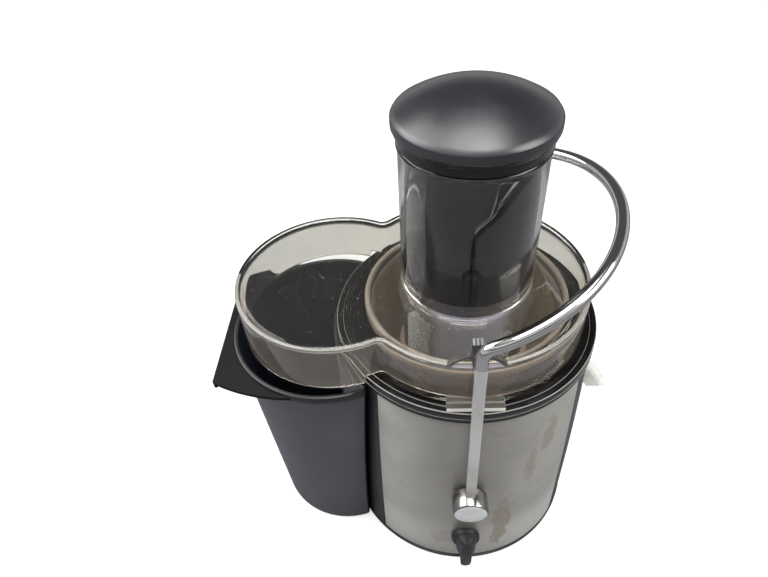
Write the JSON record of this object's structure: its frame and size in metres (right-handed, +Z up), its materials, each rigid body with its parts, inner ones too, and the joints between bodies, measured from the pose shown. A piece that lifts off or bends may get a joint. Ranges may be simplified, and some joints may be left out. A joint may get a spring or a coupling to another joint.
{
  "type": "centrifugal juicer",
  "caption": "Countertop juicer with a round steel-clad motor base, clear lid and wide feed tube, pusher, side pulp bin, juice spout and a swing-over locking bail.",
  "frame": {"origin": "on the table, under the middle of the whole juicer's bounding box", "axes": "+Z up, +X towards the juice spout, -X towards the pulp bin, -Y towards the switch"},
  "size_m": [0.281, 0.21, 0.3529],
  "materials": {
    "motor_housing": "moulded black, satin gloss",
    "base_plate": "moulded black, matt",
    "feet": "soft rubber",
    "base_screws": "zinc plated",
    "front_steel_wrap": "vertical brushed stainless sheet, worn",
    "rear_steel_wrap": "vertical brushed stainless sheet, worn",
    "cord_gland": "soft plastic",
    "pivot_pins": "turned steel",
    "motor_stator": "varnished laminations",
    "field_coils": "varnished copper wire",
    "motor_bracket": "die cast",
    "motor_bushes": "soft rubber",
    "motor_screws": "zinc plated",
    "bearings": "ground steel",
    "brush_holders": "stamped brass",
    "switch_body": "moulded",
    "interlock_switch": "moulded",
    "shaft_seal": "silicone",
    "juice_bowl": "smoky clear plastic, stained",
    "juice_spout": "milky clear plastic",
    "bowl_ring": "polished black",
    "bowl_seal": "silicone",
    "lid": "smoky clear plastic, scratched",
    "feed_tube": "smoky clear plastic, scratched",
    "motor_shaft": "ground steel",
    "armature": "varnished laminations",
    "commutator": "turned copper",
    "cooling_fan": "moulded",
    "drive_coupling": "moulded",
    "filter_basket": "moulded, stained by use",
    "sieve": "fine etched sieve, stained",
    "grater_disc": "pressed teeth",
    "disc_hub": "pressed",
    "pusher_body": "moulded charcoal",
    "pusher_cap": "moulded black, satin",
    "pulp_bin": "moulded charcoal, satin",
    "bail": "plated, polished",
    "pivot_caps": "plated, light wear",
    "bail_lugs": "moulded black",
    "switch_knob": "moulded black",
    "switch_spindle": "moulded"
  },
  "bodies": {
    "base": {"motor_housing": "motor_housing", "base_plate": "base_plate", "feet": "feet", "base_screws": "base_screws", "front_steel_wrap": "front_steel_wrap", "rear_steel_wrap": "rear_steel_wrap", "cord_gland": "cord_gland", "pivot_pins": "pivot_pins", "motor_stator": "motor_stator", "field_coils": "field_coils", "motor_bracket": "motor_bracket", "motor_bushes": "motor_bushes", "motor_screws": "motor_screws", "bearings": "bearings", "brush_holders": "brush_holders", "switch_body": "switch_body", "interlock_switch": "interlock_switch", "shaft_seal": "shaft_seal", "juice_bowl": "juice_bowl", "juice_spout": "juice_spout", "bowl_ring": "bowl_ring", "bowl_seal": "bowl_seal", "lid": "lid", "feed_tube": "feed_tube"},
    "rotor": {"motor_shaft": "motor_shaft", "armature": "armature", "commutator": "commutator", "cooling_fan": "cooling_fan", "drive_coupling": "drive_coupling", "filter_basket": "filter_basket", "sieve": "sieve", "grater_disc": "grater_disc", "disc_hub": "disc_hub"},
    "pusher": {"pusher_body": "pusher_body", "pusher_cap": "pusher_cap"},
    "pulp_bin": {"pulp_bin": "pulp_bin"},
    "bail": {"bail": "bail", "pivot_caps": "pivot_caps", "bail_lugs": "bail_lugs"},
    "knob": {"switch_knob": "switch_knob", "switch_spindle": "switch_spindle"}
  },
  "joints": [
    {"name": "basket_spin", "type": "hinge", "parent": "base", "child": "rotor", "pos_m": [0.0275, 0, 0.16], "axis": [0, 0, 1], "continuous": true},
    {"name": "pusher_slide", "type": "slide", "parent": "base", "child": "pusher", "axis": [0, 0, 1], "range_m": [0, 0.09]},
    {"name": "bin_slide", "type": "slide", "parent": "base", "child": "pulp_bin", "axis": [-1, 0, 0], "range_m": [0, 0.13]},
    {"name": "bail_swing", "type": "hinge", "parent": "base", "child": "bail", "pos_m": [0.0275, 0, 0.103], "axis": [0, 1, 0], "range_deg": [0, 90]},
    {"name": "knob_turn", "type": "hinge", "parent": "base", "child": "knob", "pos_m": [0.0275, -0.09, 0.042], "axis": [0, 1, 0], "range_deg": [0, 90]}
  ]
}
